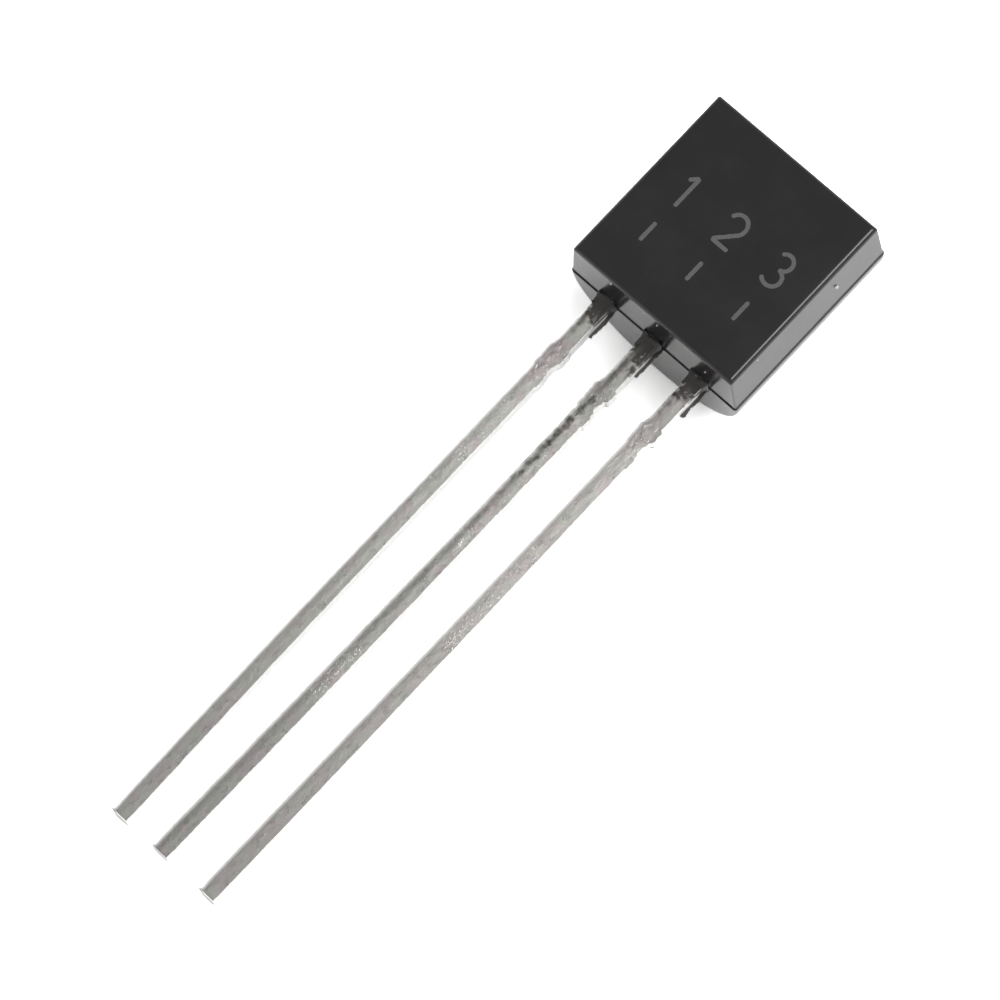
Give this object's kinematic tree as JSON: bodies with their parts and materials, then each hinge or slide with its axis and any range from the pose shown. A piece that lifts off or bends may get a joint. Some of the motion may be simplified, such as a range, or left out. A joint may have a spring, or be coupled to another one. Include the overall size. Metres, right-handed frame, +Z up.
{
  "type": "to-92 transistor",
  "caption": "Small transistor in a black moulded case with a flat front and a half-round back, with flat tinned leads in a row, lying on its back.",
  "frame": {"origin": "on the table, under the middle of the whole device's box", "axes": "+Z up from the table, +Y from the lead tips towards the case, +X across the leads, from the collector lead to the emitter lead"},
  "size_m": [0.0046, 0.0192, 0.0043],
  "materials": {
    "epoxy_compound": "satin",
    "tinned_lead": "satin",
    "silicon": "polished",
    "silver_paste": "matte",
    "gold_wire": "polished"
  },
  "bodies": {
    "root": {"mould_body": "epoxy_compound", "collector_lead": "tinned_lead", "base_lead": "tinned_lead", "emitter_lead": "tinned_lead", "silicon_die": "silicon", "die_paste": "silver_paste", "base_bond_wire": "gold_wire", "emitter_bond_wire": "gold_wire"}
  },
  "joints": []
}
